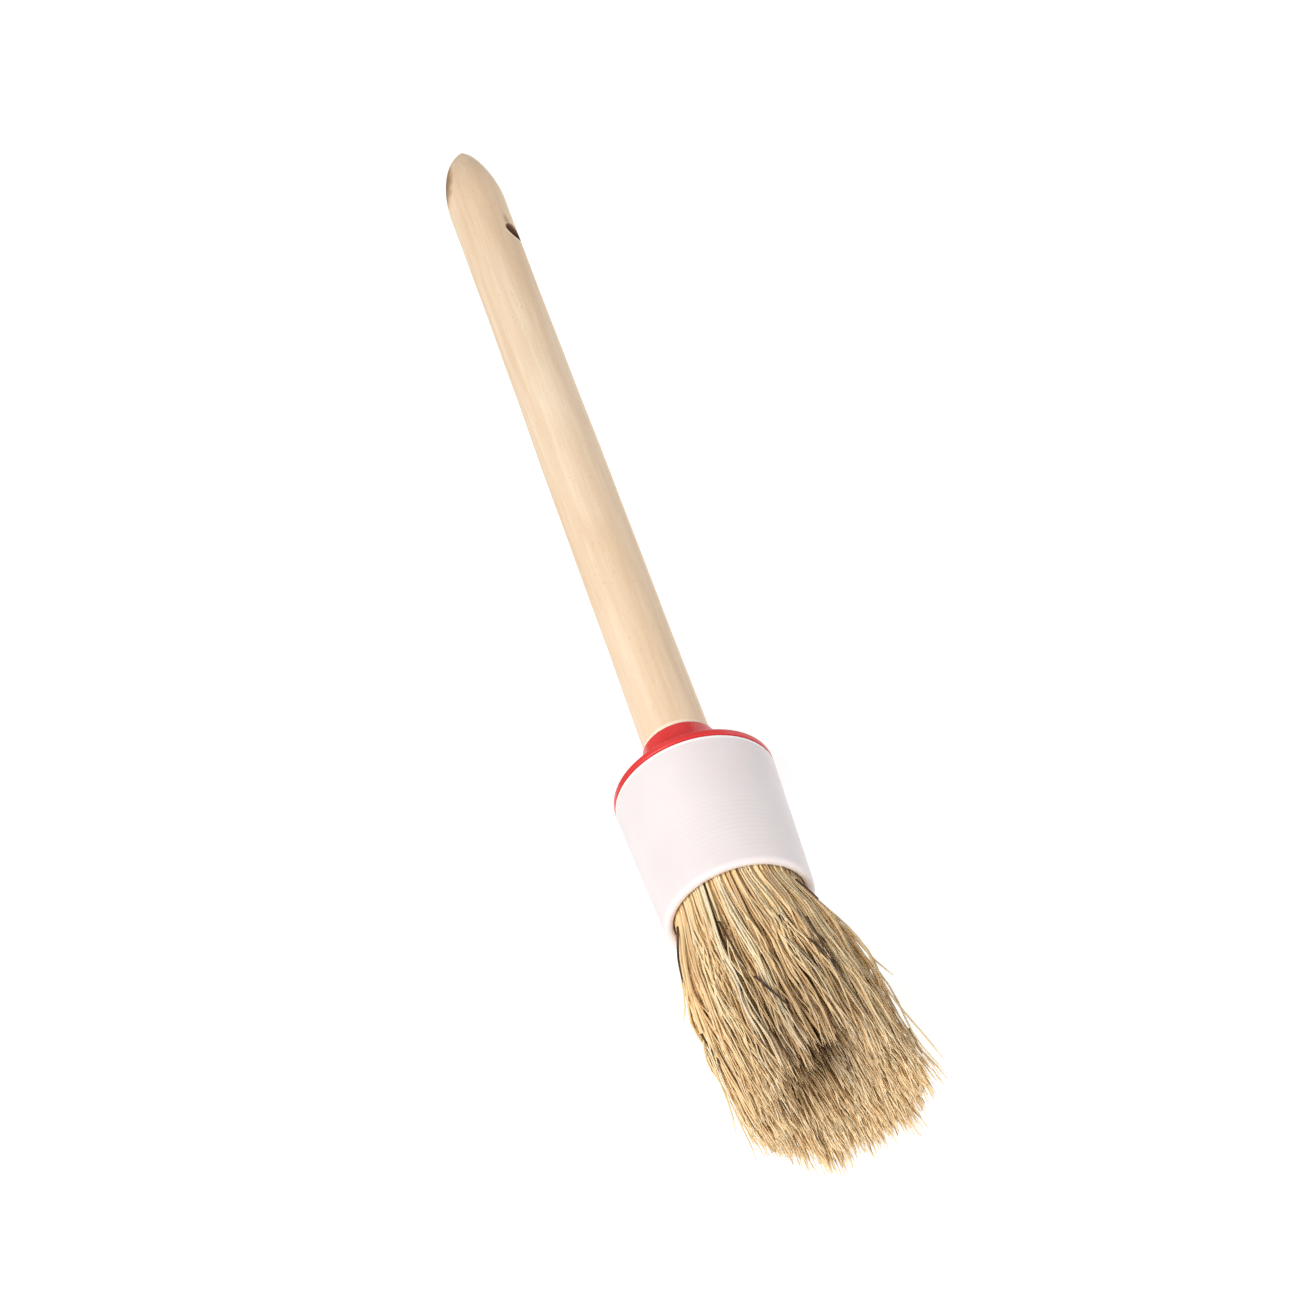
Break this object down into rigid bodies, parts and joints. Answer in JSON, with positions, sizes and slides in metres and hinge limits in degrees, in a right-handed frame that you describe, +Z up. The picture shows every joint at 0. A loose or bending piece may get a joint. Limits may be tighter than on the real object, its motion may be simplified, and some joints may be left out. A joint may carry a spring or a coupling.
{
  "type": "round bristle brush",
  "caption": "Round natural-bristle pastry brush with a pointed wooden dowel handle, red plastic collar and white tapered ferrule.",
  "frame": {"origin": "on the surface that the brush lies on, under the middle of its bounding box", "axes": "+Z up, +X from the handle's rounded end to the bristle tips (the brush's own axis rises 2.8 degrees towards the bristles), +Y across, along the hanging hole"},
  "size_m": [0.361, 0.0446, 0.042],
  "materials": {
    "birch_wood": "matte",
    "red_plastic": "gloss",
    "white_plastic": "satin",
    "setting_resin": "satin",
    "hog_bristle": "satin"
  },
  "bodies": {
    "holder": {"handle": "birch_wood", "collar": "red_plastic", "ferrule": "white_plastic", "resin_setting": "setting_resin"},
    "bristle_head": {"bristle_tuft_inner_01": "hog_bristle", "bristle_tuft_inner_02": "hog_bristle", "bristle_tuft_inner_03": "hog_bristle", "bristle_tuft_inner_04": "hog_bristle", "bristle_tuft_inner_05": "hog_bristle", "bristle_tuft_inner_06": "hog_bristle", "bristle_tuft_inner_07": "hog_bristle", "bristle_tuft_inner_08": "hog_bristle", "bristle_tuft_middle_01": "hog_bristle", "bristle_tuft_middle_02": "hog_bristle", "bristle_tuft_middle_03": "hog_bristle", "bristle_tuft_middle_04": "hog_bristle", "bristle_tuft_middle_05": "hog_bristle", "bristle_tuft_middle_06": "hog_bristle", "bristle_tuft_middle_07": "hog_bristle", "bristle_tuft_middle_08": "hog_bristle", "bristle_tuft_middle_09": "hog_bristle", "bristle_tuft_middle_10": "hog_bristle", "bristle_tuft_middle_11": "hog_bristle", "bristle_tuft_middle_12": "hog_bristle", "bristle_tuft_outer_01": "hog_bristle", "bristle_tuft_outer_02": "hog_bristle", "bristle_tuft_outer_03": "hog_bristle", "bristle_tuft_outer_04": "hog_bristle", "bristle_tuft_outer_05": "hog_bristle", "bristle_tuft_outer_06": "hog_bristle", "bristle_tuft_outer_07": "hog_bristle", "bristle_tuft_outer_08": "hog_bristle", "bristle_tuft_outer_09": "hog_bristle", "bristle_tuft_outer_10": "hog_bristle", "bristle_tuft_outer_11": "hog_bristle", "bristle_tuft_outer_12": "hog_bristle", "bristle_tuft_outer_13": "hog_bristle", "bristle_tuft_outer_14": "hog_bristle", "bristle_tuft_outer_15": "hog_bristle", "bristle_tuft_outer_16": "hog_bristle", "bristle_tuft_outer_17": "hog_bristle", "bristle_tuft_outer_18": "hog_bristle"}
  },
  "joints": [
    {"name": "bristle_bend", "type": "hinge", "parent": "holder", "child": "bristle_head", "pos_m": [0.11762, -0.00227, 0.02186], "axis": [-0.0487, 0, 0.9988], "range_deg": [-25, 25], "stiffness_Nm_per_rad": 1, "deforming": ["bristle_tuft_inner_01", "bristle_tuft_inner_02", "bristle_tuft_inner_03", "bristle_tuft_inner_04", "bristle_tuft_inner_05", "bristle_tuft_inner_06", "bristle_tuft_inner_07", "bristle_tuft_inner_08", "bristle_tuft_middle_01", "bristle_tuft_middle_02", "bristle_tuft_middle_03", "bristle_tuft_middle_04", "bristle_tuft_middle_05", "bristle_tuft_middle_06", "bristle_tuft_middle_07", "bristle_tuft_middle_08", "bristle_tuft_middle_09", "bristle_tuft_middle_10", "bristle_tuft_middle_11", "bristle_tuft_middle_12", "bristle_tuft_outer_01", "bristle_tuft_outer_02", "bristle_tuft_outer_03", "bristle_tuft_outer_04", "bristle_tuft_outer_05", "bristle_tuft_outer_06", "bristle_tuft_outer_07", "bristle_tuft_outer_08", "bristle_tuft_outer_09", "bristle_tuft_outer_10", "bristle_tuft_outer_11", "bristle_tuft_outer_12", "bristle_tuft_outer_13", "bristle_tuft_outer_14", "bristle_tuft_outer_15", "bristle_tuft_outer_16", "bristle_tuft_outer_17", "bristle_tuft_outer_18"]}
  ]
}
